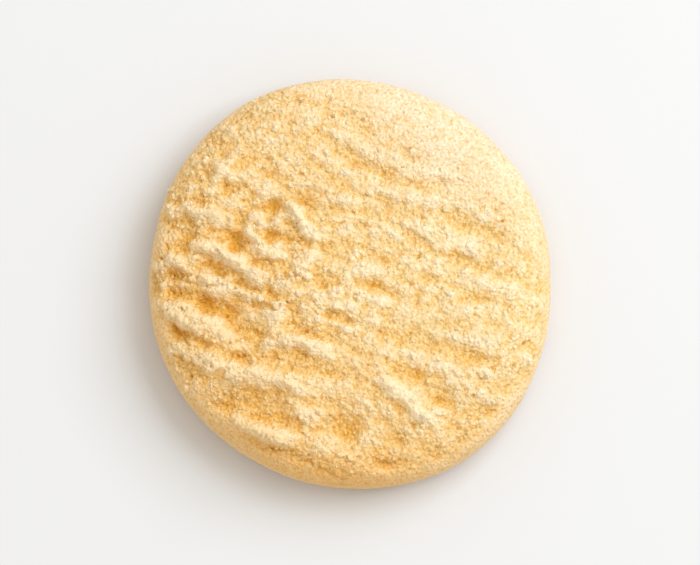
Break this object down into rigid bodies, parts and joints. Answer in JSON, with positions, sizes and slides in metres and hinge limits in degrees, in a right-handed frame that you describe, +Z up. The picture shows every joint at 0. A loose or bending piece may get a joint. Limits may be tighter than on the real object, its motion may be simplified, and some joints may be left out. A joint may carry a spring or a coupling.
{
  "type": "shortbread round",
  "caption": "Round wire-cut shortbread biscuit lying on its flat baked base, with a torn, rippled top face and a smooth rounded edge.",
  "frame": {"origin": "centre of the biscuit's base, on the surface that it rests on", "axes": "+Z up out of the torn face, +Y towards the top edge of the face as the picture shows it, +X to the right of the face"},
  "size_m": [0.0462, 0.0474, 0.0098],
  "materials": {
    "baked_crumb": "matte, dry crumb"
  },
  "bodies": {
    "root": {"biscuit": "baked_crumb"}
  },
  "joints": []
}
